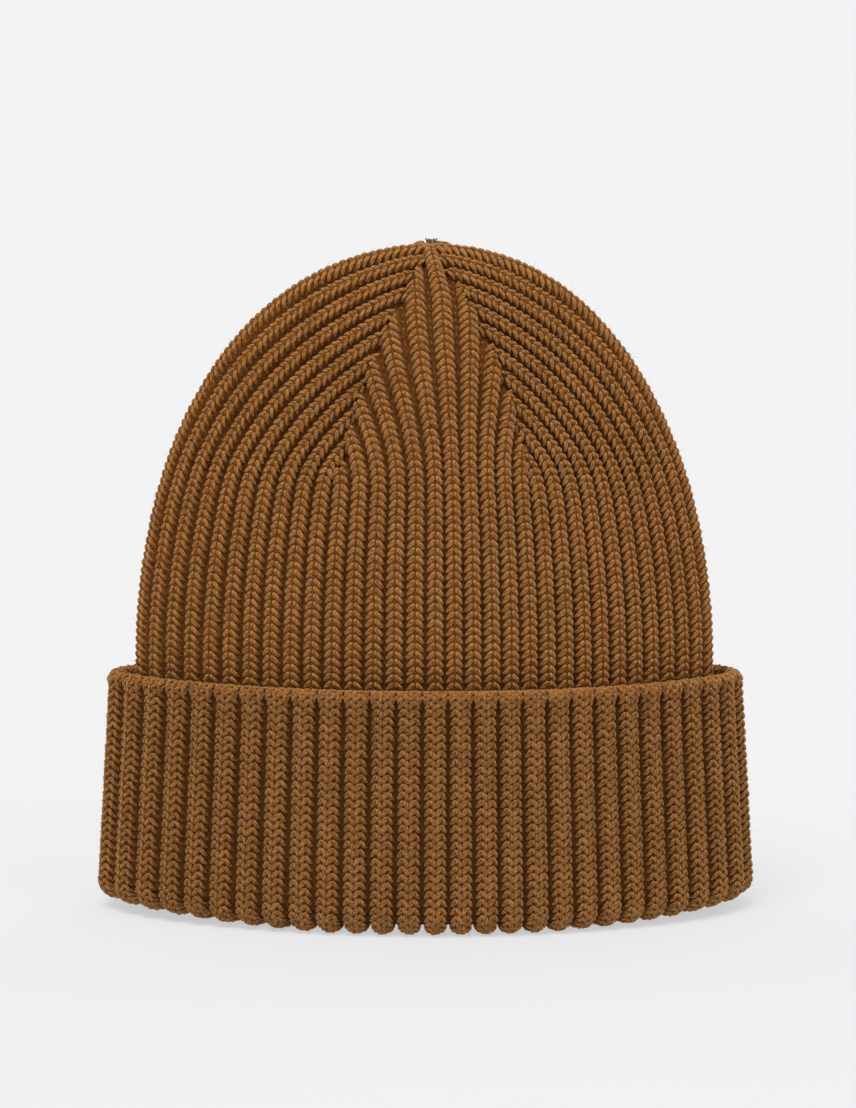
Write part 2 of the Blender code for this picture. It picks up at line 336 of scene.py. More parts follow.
def smooth_rows(values, spread):
    """A bell-weighted running average down the columns, whose ends go on as straight lines."""
    reach = 3 * spread
    weights = np.exp(-0.5 * (np.arange(-reach, reach + 1) / spread) ** 2)
    before = 2 * values[0] - values[1:reach + 1][::-1]
    after = 2 * values[-1] - values[-reach - 1:-1][::-1]
    padded = np.concatenate([before, values, after])
    return np.apply_along_axis(np.convolve, 0, padded, weights / weights.sum(), mode="valid")


def angle_of(shares, rows, face, tables=SHARES):
    """Angles round the hat for signed shares, with the row of each."""
    quarter = np.array([np.interp(np.abs(share), tables[row], QUARTER_ANGLES)
                        for share, row in zip(shares, rows)])
    if face == "front":
        return np.where(shares >= 0, quarter, math.pi - quarter)
    return np.where(shares >= 0, -quarter, quarter - math.pi)


GORE_RIBS = np.arange(-5, 6)
SIDE_RIBS = np.concatenate([np.arange(-15, -5), np.arange(6, 17)])
VALLEYS_OF_GORE = np.arange(-5, 6) + 0.5
# The last valley on each side lies a hair short of the line where front and back meet.
VALLEYS_OF_SIDES = np.concatenate([np.arange(-15, -5) - 0.499, np.arange(5, 16) + 0.5, [16.499]])
print("front gore takes", len(GORE_RIBS), "ribs, the side gores", len(SIDE_RIBS), "on each face")

# %% [markdown]
# ## The stitches
#
# Along each rib a stitch sits every row. Its place is a point and three directions: across the
# rib, up along it, and out of the fabric. A leg that would cross the dart is left out, and one
# beside the dart sinks, which draws the crease.


# %% Stitch places
LINE_PAST_DART = 0.0016  # a rib's line ends once it is this far past a dart
DART_FOOT_SIZE = 0.0006  # how blunt the crease is at the dart's foot


def even_places(surface, angle, run, spacing):
    """Distances of evenly spaced stitches along a line on a surface, and the distance walked to
    each of the line's own points."""
    length = walked(surface(angle, run))
    return np.arange(spacing / 2, length[-1], spacing), length


def stitch_axes(surface, angle, run):
    """Each place's point, and its across, up and out directions."""
    points = surface(angle, run)
    up = unit(np.gradient(points, axis=0))
    out = face_normal(surface, angle, run)
    across = unit(np.cross(up, out))
    return points, across, up, np.cross(across, up)


def crown_stitches(face, gore, valleys=False):
    """All stitch places of one face's gore ribs or side ribs, from behind the cuff to the dart, or
    of the valleys beside them, half a rib aside."""
    numbers = GORE_RIBS if gore else SIDE_RIBS
    if valleys:
        numbers = VALLEYS_OF_GORE if gore else VALLEYS_OF_SIDES
    shares, pitches = rib_lines(numbers, face, gore)
    found = []
    for column in range(len(numbers)):
        share = shares[:, column]
        gone = (dart_gap(share, RUNS, gore) < -LINE_PAST_DART) & (CLIMB > 0.01)
        end = int(np.argmax(gone)) if gone.any() else len(RUNS)
        angle = angle_of(share[:end], np.arange(end), face)
        wanted, length = even_places(crown_point, angle, RUNS[:end], CROWN_ROW)
        if len(wanted) < 3:
            continue
        here = [np.interp(wanted, length, line) for line in
                (angle, RUNS[:end], share[:end], pitches[:end, column])]
        found.append([*stitch_axes(crown_point, here[0], here[1]), *here])
    return [np.concatenate(parts) for parts in zip(*found)]


def dart_gap(share, run, gore):
    """How far a place lies from the dart on its own side of it; below the dart's foot, the plain
    distance from the foot."""
    dart = np.interp(run, RUNS, DART_SHARES)
    away = (dart - np.abs(share)) / np.interp(run, RUNS, PER_METRE)
    gap = (away if gore else -away) * np.interp(run, RUNS, DART_LEAN)
    return np.where(run > DART_RUN, gap, np.hypot(away, run - DART_RUN) + DART_FOOT_SIZE)


CUFF_SHARES, _ = share_tables(cuff_point, CUFF_RUNS)
MID_CUFF = int(np.argmin(np.abs(CUFF_RUNS - (FACE_RUN + FOLD_RUN) / 2)))


def cuff_angle(numbers, face):
    """Angles of rib numbers on one face of the cuff, counted from the middle to both sides. A
    number past the side goes on along the other face."""
    numbers = np.atleast_1d(np.asarray(numbers, float))
    shares = numbers / quarter_ribs(numbers, CUFF_RIBS)
    over = np.abs(shares) > 1
    folded = np.where(over, np.sign(shares) * (2 - np.abs(shares)), shares)
    rows = np.full(len(folded), MID_CUFF)
    other_face = "back" if face == "front" else "front"
    return np.where(over, angle_of(folded, rows, other_face, CUFF_SHARES),
                    angle_of(folded, rows, face, CUFF_SHARES))


def cuff_line(number, face, runs, spacing):
    """Stitch places along one column of the cuff, and the rib's pitch there, which is twice the
    distance between two lines a quarter of a rib to each side."""
    angle = cuff_angle(number, face)[0]
    wanted, length = even_places(cuff_point, np.full(len(runs), angle), runs, spacing)
    run = np.interp(wanted, length, runs)
    points, across, up, out = stitch_axes(cuff_point, np.full(len(run), angle), run)
    near = cuff_angle([number - 0.25, number + 0.25], face)
    pitch = 2 * np.linalg.norm(cuff_point(near[0], run) - cuff_point(near[1], run), axis=1)
    return points, -across, -up, out, pitch, run


# %% [markdown]
# ## A leg of yarn
#
# Each leg is a short tube with six sides and five rings. It starts low in the rib's flank, climbs
# over the round of the rib and dives under the next stitch near the middle, so both ends are sunk.

# %% One leg, and many at once
RINGS = 5
SIDES = 6
FLATTEN = 0.92           # yarn pressed into fabric is this much flatter, and as much wider
rng = np.random.default_rng(12)


def rib_round(x, half, relief):
    """How far the rib's face lies below its crest, at a distance x from its middle: an ellipse."""
    return relief * (1 - np.sqrt(np.clip(1 - (x / half) ** 2, 0, 1)))


def leg_mesh(points, across, up, out, start, end, shift, half, relief, length, radius, sink, tone):
    """Tubes for many legs at once. start and end are signed distances across, where the leg's low
    and high ends lie, and shift is how far the rib's middle is from the column's own line.

    Along a leg, t goes from 0 to 1 and edge = |2 t - 1| from 1 to 0 and back. The tube follows the
    round of the rib, its ends are sunk by sink * edge^2.5, and it thins there by 0.3 * edge^3.
    """
    count = len(points)
    t = np.linspace(0, 1, RINGS)[None, :]
    swing = 0.5 * t + 0.5 * ease(t)
    x = start[:, None] * (1 - swing) + end[:, None] * swing
    y = (t - 0.5) * length[:, None]
    edge = np.abs(2 * t - 1)
    fall = rib_round(x - shift[:, None], half[:, None], relief[:, None])
    z = -FLATTEN * radius[:, None] - fall - sink[:, None] * edge ** 2.5
    girth = radius[:, None] * (1 - 0.30 * edge ** 3)
    flat = FLATTEN * girth
    slope = np.stack([end - start, length], axis=1)
    slope /= np.linalg.norm(slope, axis=1, keepdims=True)
    psi = np.linspace(0, 2 * math.pi, SIDES, endpoint=False)[None, None, :]
    sideways = girth[:, :, None] / FLATTEN * np.cos(psi)
    height = z[:, :, None] + flat[:, :, None] * np.sin(psi)
    px = x[:, :, None] + sideways * slope[:, 1, None, None]
    py = y[:, :, None] - sideways * slope[:, 0, None, None]
    place = (points[:, None, None, :] + px[..., None] * across[:, None, None, :]
             + py[..., None] * up[:, None, None, :] + height[..., None] * out[:, None, None, :])
    tones = np.broadcast_to(tone[:, None, None], px.shape)
    quads = repeat_faces(leg_faces(), count, RINGS * SIDES)
    return place.reshape(-1, 3), quads, tones.ravel(), leg_uvs(count)


def grid_quads(rows, columns, closed, looped=False):
    """Faces of a grid of points. Its last column may join the first, and its last row too."""
    row = np.arange(rows if looped else rows - 1)[:, None]
    column = np.arange(columns if closed else columns - 1)[None, :]
    here, above = row * columns, (row + 1) % rows * columns
    after = (column + 1) % columns
    return np.stack([here + column, here + after, above + after, above + column],
                    axis=-1).reshape(-1, 4)


def leg_faces():
    """Faces of one tube: rings joined to rings, and two quads to close each six-sided end."""
    walls = grid_quads(RINGS, SIDES, True)[:, [0, 3, 2, 1]]
    top = (RINGS - 1) * SIDES
    caps = np.array([[0, 1, 2, 3], [0, 3, 4, 5],
                     [top + 3, top + 2, top + 1, top], [top + 5, top + 4, top + 3, top]])
    return np.concatenate([walls, caps])


def repeat_faces(faces, count, points_each):
    """The same faces for many copies of a shape, each copy's points after the one before."""
    return (faces[None] + np.arange(count)[:, None, None] * points_each).reshape(-1, 4)


def leg_uvs(count):
    """Each corner's place on its own tube: round it, from 0 to 1, and along it, from 0 to 1."""
    faces = leg_faces()
    u = (faces % SIDES) / SIDES
    wraps = (u.max(axis=1, keepdims=True) > 0.8) & (u < 0.1)
    wraps[-4:] = False
    u = np.where(wraps, 1.0, u)
    v = (faces // SIDES) / (RINGS - 1)
    return np.tile(np.stack([u, v], axis=-1).reshape(-1, 2), (count, 1))


# %% A mesh from whole arrays
def in_scene(name, data):
    """An object that shows a mesh, a lamp or a camera."""
    thing = bpy.data.objects.new(name, data)
    bpy.context.scene.collection.objects.link(thing)
    return thing


def make_mesh(name, points, quads, tone, uvs, material):
    """An object from whole arrays, smooth shaded, with its attributes, on the hat's one body."""
    mesh = bpy.data.meshes.new(name)
    mesh.vertices.add(len(points))
    mesh.vertices.foreach_set("co", np.ascontiguousarray(points, dtype=np.float32).ravel())
    mesh.loops.add(quads.size)
    mesh.loops.foreach_set("vertex_index", quads.ravel().astype(np.int32))
    mesh.polygons.add(len(quads))
    mesh.polygons.foreach_set("loop_start", np.arange(0, quads.size, 4, dtype=np.int32))
    mesh.update(calc_edges=True)
    layer = mesh.attributes.new("tone", "FLOAT", "POINT")
    layer.data.foreach_set("value", np.asarray(tone, dtype=np.float32))
    place = mesh.uv_layers.new(name="yarn")
    place.data.foreach_set("uv", np.asarray(uvs, dtype=np.float32).ravel())
    mesh.shade_smooth()
    mesh.materials.append(material)
    thing = in_scene(name, mesh)
    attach(thing, "root")
    return thing


def stitch_tones(count):
    """Each stitch is a little lighter or darker than its neighbours."""
    return np.clip(rng.normal(0.5, 0.17, count), 0, 1)


# %% [markdown]
# ## The crown's stitches
#
# A single-column rib is one pile of carets. Between the ribs the fabric shows its back, where the
# yarn crosses over as a short bar in each row. Beside a dart the stitches are pulled in: they sink
# by a depth that fades with the distance, and past the dart they are left out.

# %% Crown legs
ROUND_TURN = 0.004       # a small turn of the angle, for the direction round the hat
UNEVENNESS = 0.00006     # how far a stitch may lie from its ideal place
GIRTH_SPREAD = 0.04      # and how much its yarn varies, as a part of its radius
CREASE_DEPTH = 0.0013    # how deep the stitches beside a dart sink
CREASE_REACH = 0.0009    # and how soon that fades
LEG_PAST_DART = 0.0014   # a leg further past the dart than this is left out
THINNEST_HALF = 0.0010   # so is one in a rib narrower than this
LOW_END_OUT = 0.0001     # a leg's low end reaches past the rib's flank
HIGH_END = 0.00040       # its high end stops this far from the rib's middle
CROWN_SINK = 0.00030
CROWN_LEG = CROWN_ROW * 1.14                 # legs overlap the next row's


def crown_level(across, angle, run):
    """How nearly a rib's own across direction runs round the hat: 1 where it does."""
    return (across * unit(round_step(crown_point, angle, run, ROUND_TURN))).sum(1)


def crown_legs(places, face, gore, from_run, to_run):
    """The two legs of each stitch of a single-column rib, between two runs."""
    points, across, up, out, angle, run, share, pitch = places
    count = len(points)
    tone = stitch_tones(count)
    wobble = rng.normal(0, UNEVENNESS, (3, count))
    level = crown_level(across, angle, run)
    steep = (across * unit(run_step(crown_point, angle, run))).sum(1)
    per_metre = np.interp(run, RUNS, PER_METRE)
    rib_share = CROWN_RIB_SHARE - 0.04 * ease((run - DART_RUN) / 0.012)
    half = np.minimum(WIDEST_RIB_HALF, pitch * np.abs(level) * rib_share)
    fullness = half / CROWN_RIB_HALF
    to_right = 1 if face == "front" else -1
    parts = []
    for side in (-1, 1):
        aside = side * 0.5 * half
        leg_share = share + to_right * aside * level * per_metre
        gap = dart_gap(leg_share, run + aside * steep, gore)
        kept = (gap > -LEG_PAST_DART) & (half > THINNEST_HALF) & (run >= from_run) & (run < to_run)
        crease = CREASE_DEPTH * np.exp(-np.maximum(gap, 0) / CREASE_REACH)
        drop = crease + np.maximum(-gap, 0) + wobble[2]
        base = points - out * drop[:, None] + up * wobble[1][:, None]
        radius = YARN * np.clip(1.25 * fullness, 0.4, 1) * rng.normal(1, GIRTH_SPREAD, count)
        start = side * (half + LOW_END_OUT) + wobble[0]
        end = side * np.minimum(half * 0.2, HIGH_END) + wobble[0]
        full = [base, across, up, out, start, end, np.zeros(count), half * 1.12,
                CROWN_RIB_RELIEF * np.minimum(fullness, 1), np.full(count, CROWN_LEG), radius,
                np.full(count, CROWN_SINK), tone]
        parts.append([part[kept] for part in full])
    return [np.concatenate(both) for both in zip(*parts)]


# %% Purl bars
BAR_DEPTH = 0.0032       # how deep a bar lies; a wide valley lifts its bars by up to BAR_LIFT
BAR_LIFT = 0.0005
BAR_CREASE = 0.0010      # a dart sinks them by this, fading over BAR_CREASE_REACH
BAR_CREASE_REACH = 0.0013
BAR_REACH = 0.0034       # the longest half bar
BAR_YARN = 0.00055
BAR_SINK = 0.0004


def purl_bars(places, gore, from_run, to_run):
    """The valley's bars: yarn that crosses from rib to rib, one to a row, deep in the fabric."""
    points, across, up, out, angle, run, share, pitch = places
    count = len(points)
    gap = dart_gap(share, run, gore)
    wide = pitch * np.abs(crown_level(across, angle, run))
    room = wide / 2 - np.minimum(CROWN_RIB_HALF, wide * CROWN_RIB_SHARE)
    kept = (gap > 0.0003) & (wide > 0.0030) & (run >= from_run) & (run < to_run)
    reach = np.minimum(room + 0.0005, BAR_REACH)
    crease = BAR_CREASE * np.exp(-np.maximum(gap, 0) / BAR_CREASE_REACH)
    drop = (BAR_DEPTH - BAR_LIFT * ease((wide - 0.007) / 0.003) + crease
            + rng.normal(0, 0.0001, count))
    base = points - out * drop[:, None]
    # The bars' tone is lowered by 0.55, so they come out darker: painted shade deep in the valleys.
    full = [base, across, up, out, -reach, reach, np.zeros(count), np.ones(count),
            np.zeros(count), rng.normal(0, 0.0003, count), np.full(count, BAR_YARN),
            np.full(count, BAR_SINK), stitch_tones(count) * 0.5 - 0.55]
    return [part[kept] for part in full]


# %% [markdown]
# ## The cuff's stitches
#
# A cuff rib is two columns wide, so its carets stand in pairs. At the cast-on edge the ribs are
# still flat and the columns between them come to the front too, which makes the edge a smooth
# round band; a few rows below it the ribs stand up and the columns between them sink away.

# %% Cuff legs
RIBS_RISE = 0.0070       # the run over which the ribs come to stand up
VALLEYS_SINK = 0.0080    # and over which the columns between them sink
VALLEY_SINK_DEPTH = 0.0042
EDGE_BAND = TOP_RUN + 0.0010                 # both start here, just past the edge's highest line
CUFF_HIGH_END = 0.00018
VALLEY_HIGH_END = 0.00036
CUFF_SINK = 0.00035
VALLEY_SINK = 0.0005


def rib_rise(run):
    """How far the ribs stand up: little at the cast-on edge, fully a few rows below it."""
    return 0.10 + 0.90 * ease((run - EDGE_BAND) / RIBS_RISE)


def cuff_legs(face, numbers, runs):
    """Legs of the two-column ribs of one face, along given runs."""
    to_right = 1 if face == "front" else -1
    parts = []
    for number in numbers:
        for side in (-1, 1):
            points, across, up, out, pitch, run = cuff_line(number + side * CUFF_COLUMN, face, runs,
                                                            CUFF_ROW)
            count = len(points)
            side_here = side * to_right
            tone = stitch_tones(count)
            wobble = rng.normal(0, UNEVENNESS, (3, count))
            half = CUFF_RIB_SHARE * pitch
            column = CUFF_COLUMN * pitch
            base = points - out * wobble[2][:, None] + up * wobble[1][:, None]
            for leg in (-1, 1):
                reach = half - column if leg == side_here else column - 0.0002
                parts.append([base, across, up, out, leg * reach + wobble[0],
                              leg * CUFF_HIGH_END + wobble[0], -side_here * column, half * 1.06,
                              CUFF_RIB_RELIEF * rib_rise(run), np.full(count, CUFF_ROW * 1.06),
                              CUFF_YARN * rng.normal(1, GIRTH_SPREAD, count),
                              np.full(count, CUFF_SINK), tone, run])
    return [np.concatenate(all_parts) for all_parts in zip(*parts)]


def valley_legs(face, numbers, runs):
    """Legs of the columns between the ribs, which sink as the run goes on."""
    parts = []
    for number in numbers:
        points, across, up, out, pitch, run = cuff_line(number + 0.5, face, runs, CUFF_ROW)
        count = len(points)
        tone = stitch_tones(count)
        drop = VALLEY_SINK_DEPTH * ease((run - EDGE_BAND) / VALLEYS_SINK)
        base = points - out * drop[:, None]
        for leg in (-1, 1):
            parts.append([base, across, up, out, leg * 0.15 * pitch,
                          np.full(count, leg * VALLEY_HIGH_END), np.zeros(count),
                          np.full(count, 0.01), np.zeros(count), np.full(count, CUFF_ROW * 1.16),
                          np.full(count, YARN), np.full(count, VALLEY_SINK), tone, run])
    return [np.concatenate(all_parts) for all_parts in zip(*parts)]


# %% [markdown]
# ## Materials
#
# Wool yarn is matte and a little fuzzy: it takes a soft sheen at the edges, its colour wanders
# from stitch to stitch, and its plies wind round it as fine slanting ridges, with painted shade in
# the grooves between them.


# %% Shader expressions
class Socket:
    """A node's output that can be used in Python arithmetic."""

    def __init__(self, graph, socket):
        self.graph = graph
        self.socket = socket

    def __add__(self, other):
        return self.graph.math("ADD", self, other)

    def __sub__(self, other):
        return self.graph.math("SUBTRACT", self, other)

    def __mul__(self, other):
        return self.graph.math("MULTIPLY", self, other)


class Graph:
    """A material's node tree, with one method that makes any node."""

    def __init__(self, name):
        self.material = bpy.data.materials.new(name)
        self.material.use_nodes = True
        self.tree = self.material.node_tree
        self.shader = self.tree.nodes["Principled BSDF"]

    def node(self, kind, settings=None, sockets=None, output=0):
        """Any node: its settings, what feeds its inputs, and which output is wanted."""
        made = self.tree.nodes.new(kind)
        for key, value in (settings or {}).items():
            setattr(made, key, value)
        for key, value in (sockets or {}).items():
            self.feed(made.inputs[key], value)
        return Socket(self, made.outputs[output])

    def feed(self, socket, value):
        """Link an expression to a node's input, or set the input to a plain value."""
        if isinstance(value, Socket):
            self.tree.links.new(value.socket, socket)
        else:
            socket.default_value = value

    def math(self, operation, first, second=0.0):
        return self.node("ShaderNodeMath", {"operation": operation}, {0: first, 1: second})

    def clamp(self, value):
        return self.node("ShaderNodeClamp", {}, {"Value": value})

    def mix(self, factor, first, second):
        return self.node("ShaderNodeMix", {"data_type": "RGBA"},
                         {0: factor, 6: first, 7: second}, output=2)

    def attribute(self, name):
        return self.node("ShaderNodeAttribute", {"attribute_name": name}, output="Fac")

    def object_place(self):
        return self.node("ShaderNodeTexCoord", output="Object")

    def noise(self, scale, detail=2.0):
        return self.node("ShaderNodeTexNoise", {},
                         {"Scale": scale, "Detail": detail, "Vector": self.object_place()})

    def constants(self, **values):
        """Set the shader's own inputs to values that are the same all over."""
        for key, value in values.items():
            self.shader.inputs[key.replace("_", " ")].default_value = value


# %% Wool
DRIFT, SPECK, FUZZ = 38.0, 1150.0, 2600.0    # waves to a metre of the slow, fine and finest noise
PLIES = 3.0              # in the yarn
PLY_TWIST = 1.6          # turns of a ply along one leg


def wool(name, light, dark, sheen=0.65, plies=True):
    """Matte wool: colour by stitch and by slow noise, plies and fuzz as bumps.

    Where plies are drawn, their grooves are also darkened in the colour as painted shade.
    """
    graph = Graph(name)
    drift = graph.noise(DRIFT, 3.0)
    speck = graph.noise(SPECK, 5.0)
    shade = graph.attribute("tone") * 0.5 + drift * 0.4 + speck * 3.0 - 1.45
    if plies:
        place = graph.node("ShaderNodeUVMap", {"uv_map": "yarn"})
        split = graph.node("ShaderNodeSeparateXYZ", {}, {0: place})
        along = Socket(graph, split.socket.node.outputs[1])
        ply = graph.math("SINE", (split * PLIES + along * PLY_TWIST) * (2 * math.pi))
        # The grooves between the plies are darker in the colour: painted shade.
        shade = shade + ply * 0.26
    graph.feed(graph.shader.inputs["Base Color"], graph.mix(graph.clamp(shade), dark, light))
    graph.constants(Roughness=0.95, Specular_IOR_Level=0.12, Sheen_Weight=sheen,
                    Sheen_Roughness=0.38, Sheen_Tint=(0.95, 0.62, 0.30, 1.0))
    fuzz = graph.noise(FUZZ, 4.0)
    height = ply * 0.45 + fuzz * 1.5 if plies else fuzz * 1.3
    bump = graph.node("ShaderNodeBump", {},
                      {"Strength": 0.8, "Distance": 0.00035, "Height": height})
    graph.feed(graph.shader.inputs["Normal"], bump)
    return graph.material


# The crown's and the cast-on edge's colours are lighter than the cuff's: painted light from above.
painted_light_crown_wool = wool("crown wool, lightened as painted light", (0.44, 0.186, 0.047, 1.0), (0.21, 0.075, 0.013, 1.0))
cuff_wool = wool("cuff wool", (0.355, 0.149, 0.039, 1.0), (0.155, 0.054, 0.009, 1.0))
painted_light_edge_wool = wool("cast-on edge wool, lightened as painted light", (0.39, 0.164, 0.042, 1.0), (0.16, 0.057, 0.011, 1.0))
# The cloth between the ribs is far darker than the yarn: painted shade in the valleys, darkest in
# the cuff.
cuff_painted_valley_shade_wool = wool("wool between the cuff ribs, painted shade", (0.12, 0.041, 0.0075, 1.0),
                       (0.05, 0.016, 0.0025, 1.0), sheen=0.0, plies=False)
painted_valley_shade_wool = wool("wool between the ribs, painted shade", (0.18, 0.063, 0.0115, 1.0), (0.07, 0.023, 0.0035, 1.0),
                  sheen=0.0, plies=False)
seam_wool = wool("seam yarn", (0.15, 0.062, 0.017, 1.0), (0.07, 0.027, 0.006, 1.0))


# %% [markdown]
# ## The ribbed cloth under the stitches
#
# Between two knit columns the fabric turns its back: purl stitches that lie deep. They are a cloth
# that waves in and out with the ribs, thick enough to be seen from inside too. Its colour is
# painted far darker than the yarn's, as the shade in the valleys.


# %% A sheet of cloth
RIDGE_DEPTH = 0.0006     # how deep the cloth lies under a rib
VALLEY_DEPTH = 0.0034    # and between two ribs
CUFF_VALLEY = 0.0028     # how much deeper the cuff's valleys are than its ridges
SEAM_TURNING = 0.0012    # each gore's edge is turned in this far past the dart
SEAM_DIP = 0.0012        # and sinks there, fading over the same distance
CLOTH_THICKNESS = 0.0011
LEAST_AREA_SHARE = 0.31  # a flat area is never given as less of its width times length


def grid_uvs(rows, columns, closed):
    """Each corner's place on the grid, from 0 to 1 across and along."""
    row = np.arange(rows - 1)[:, None]
    column = np.arange(columns if closed else columns - 1)[None, :]
    corners = [(0, 0), (1, 0), (1, 1), (0, 1)]
    places = [np.stack(np.broadcast_arrays((column + a) / columns, (row + b) / rows), axis=-1)
              for a, b in corners]
    return np.stack(places, axis=2).reshape(-1, 2)


def ribbed_depth(number, ridge, valley):
    """Depth of the cloth at a rib number: ridge at whole numbers, valley halfway between, and the
    root of a raised cosine between them."""
    wave = 0.5 + 0.5 * np.cos(2 * math.pi * number)
    return valley + (ridge - valley) * wave ** 0.5


def seam_depth(gap):
    """How much deeper the cloth lies at a distance from the dart."""
    return SEAM_DIP * np.exp(-gap / SEAM_DIP)


def flat_size(points, closed):
    """Width, length and area of a cloth as it came off the needles, without its ribs' waves."""
    if closed:
        points = np.concatenate([points, points[:, :1]], axis=1)
    across = np.diff(points, axis=1)
    along = np.diff(points, axis=0)
    width = np.linalg.norm(across, axis=2).sum(1).max()
    length = np.linalg.norm(along, axis=2).sum(0).max()
    area = np.linalg.norm(np.cross(across[:-1], along[:, :-1]), axis=2).sum()
    return width, length, float(np.clip(area, LEAST_AREA_SHARE * width * length, width * length))


def cloth(name, surface, angle, run, depth, closed, material):
    """A grid of angles and runs, sunk along its normals, with Solidify for its thickness."""
    face, normal = surface(angle, run), face_normal(surface, angle, run)
    points = face - normal * depth[..., None]
    rows, columns = angle.shape
    tone = rng.uniform(0.2, 0.8, rows * columns)
    thing = make_mesh(name, points.reshape(-1, 3), grid_quads(rows, columns, closed), tone,
                      grid_uvs(rows, columns, closed), material)
    thick = thing.modifiers.new("thickness", "SOLIDIFY")
    thick.thickness = CLOTH_THICKNESS
    thick.offset = -1.0
    flat_size(face - normal * (RIDGE_DEPTH + CLOTH_THICKNESS / 2), closed)
    return thing


# %% The crown's cloths
GORE_GRID = (150, 90)    # rows and columns of a middle gore's cloth
SIDE_GRID = (150, 100)   # and of each half of a side gore's
BODY_OVERLAP = 0.007     # the body's cloth goes on this far below the join, inside the cuff


def body_cloth():
    """The straight part of the crown: a closed ring of cloth that starts at the front's middle."""
    rows = np.linspace(0, BASE_ROW + 1, 48).astype(int)
    ribs_right, ribs_left = CROWN_RIBS["right"], CROWN_RIBS["left"]
    right = np.arange(0, ribs_right, 1 / 8)
    left = np.arange(ribs_left, 0, -1 / 8)
    numbers = np.concatenate([right, ribs_right - right, ribs_left - left, left])
    quarters = [right / ribs_right, 1 - right / ribs_right, 1 - left / ribs_left, left / ribs_left]
    angles = []
    for row in rows:
        a, b, c, d = (np.interp(shares, SHARES[row], QUARTER_ANGLES) for shares in quarters)
        angles.append(np.concatenate([a, -b, -math.pi + c, -math.pi - d]))
    angles = np.array([angles[0]] + angles)
    runs = np.concatenate([[-BODY_OVERLAP], RUNS[rows]])[:, None] + 0 * angles
    depth = np.broadcast_to(ribbed_depth(numbers, RIDGE_DEPTH, VALLEY_DEPTH), angles.shape)
    return cloth("body_cloth", crown_point, angles, runs, depth, True, painted_valley_shade_wool)


def gore_cloth(face):
    """A middle gore's cloth, from one dart to the other, waving with the fan of its ribs."""
    rows_count, columns = GORE_GRID
    rows = np.linspace(BASE_ROW, len(RUNS) - 1, rows_count).astype(int)
    across = np.linspace(-1, 1, columns)
    dart, per_metre = DART_SHARES[rows][:, None], PER_METRE[rows][:, None]
    shares = dart * across[None, :]
    lines, _ = rib_lines(GORE_RIBS, face, True)
    numbers = np.array([np.interp(share, lines[row], GORE_RIBS)
                        for share, row in zip(shares, rows)])
    shares[:, [0, -1]] *= 1 + SEAM_TURNING * (PER_METRE / DART_SHARES)[rows][:, None]
    angles = np.array([angle_of(share, np.full(columns, row), face)
                       for share, row in zip(shares, rows)])
    gap = (dart - np.abs(shares)) / per_metre
    depth = ribbed_depth(numbers, RIDGE_DEPTH, VALLEY_DEPTH) + seam_depth(gap)
    runs = np.repeat(RUNS[rows][:, None], columns, axis=1)
    if face == "back":
        angles, depth = angles[:, ::-1], depth[:, ::-1]
    return cloth(f"gore_{face}_cloth", crown_point, angles, runs, depth, False, painted_valley_shade_wool)


def side_cloth(side):
    """A side gore's cloth, from the front dart round the side to the back dart."""
    rows_count, columns = SIDE_GRID
    rows = np.linspace(BASE_ROW, len(RUNS) - 1, rows_count).astype(int)
    sign = 1 if side == "right" else -1
    part = np.linspace(0, 1, columns)[None, :]
    dart, per_metre = DART_SHARES[rows][:, None], PER_METRE[rows][:, None]
    shares = dart + (1 - dart) * part
    at_dart = swallowed(np.array([float(sign)]))[0][rows]
    numbers = at_dart + (CROWN_RIBS[side] - at_dart) * part
    shares[:, :1] -= SEAM_TURNING * per_metre
    gap = (shares - dart) / per_metre
    depth = ribbed_depth(numbers, RIDGE_DEPTH, VALLEY_DEPTH) + seam_depth(gap)
    front, back = (np.array([angle_of(sign * share, np.full(columns, row), face)
                             for share, row in zip(shares, rows)]) for face in ("front", "back"))
    if side == "left":
        back = back + 2 * math.pi
    angles = np.concatenate([front, back[:, -2::-1]], axis=1)
    depths = np.concatenate([depth, depth[:, -2::-1]], axis=1)
    runs = np.repeat(RUNS[rows][:, None], angles.shape[1], axis=1)
    if side == "left":
        angles, depths = angles[:, ::-1], depths[:, ::-1]
    return cloth(f"gore_{side}_cloth", crown_point, angles, runs, depths, False, painted_valley_shade_wool)


# %% The cuff's cloths
def cuff_cloth(name, from_run, to_run, rows):
    """A part of the cuff's band, whose valleys close up towards the cast-on edge."""
    ribs_right, ribs_left = CUFF_RIBS["right"], CUFF_RIBS["left"]
    right = np.arange(0, ribs_right, 1 / 10)
    left = np.arange(0, ribs_left, 1 / 10)
    angles = np.concatenate([cuff_angle(right, "front"), cuff_angle(ribs_right - right, "back"),
                             cuff_angle(-left, "back"),
                             cuff_angle(left - ribs_left, "front") - 2 * math.pi])
    numbers = np.concatenate([right, ribs_right - right, left, ribs_left - left])
    runs = np.linspace(from_run, to_run, rows)[:, None]
    valley = RIDGE_DEPTH + CUFF_VALLEY * rib_rise(runs)
    depth = ribbed_depth(numbers[None, :], RIDGE_DEPTH, valley)
    angles = np.repeat(angles[None, :], rows, axis=0)
    runs = np.repeat(runs, angles.shape[1], axis=1)
    return cloth(name, cuff_point, angles[:, ::-1], runs, depth[:, ::-1], True, cuff_painted_valley_shade_wool)


# %% [markdown]
# ## Loose fibres
#
# Wool yarn is never quite smooth: fibres stand out of it, and their haze softens every stitch.
# Each one here is a thin curved hair of four sides, rooted in a leg chosen at random.

# %% Fibres
FIBRE = 0.000048         # radius of a loose fibre at its root
FIBRE_RINGS = 3
FIBRE_SIDES = 4
FIBRES_PER_LEG = 0.42
SHORTEST_FIBRE, LONGEST_FIBRE = 0.0013, 0.0030
FIBRE_LEAN = 0.9         # how widely the fibres' directions are scattered
FIBRE_BEND = 0.35


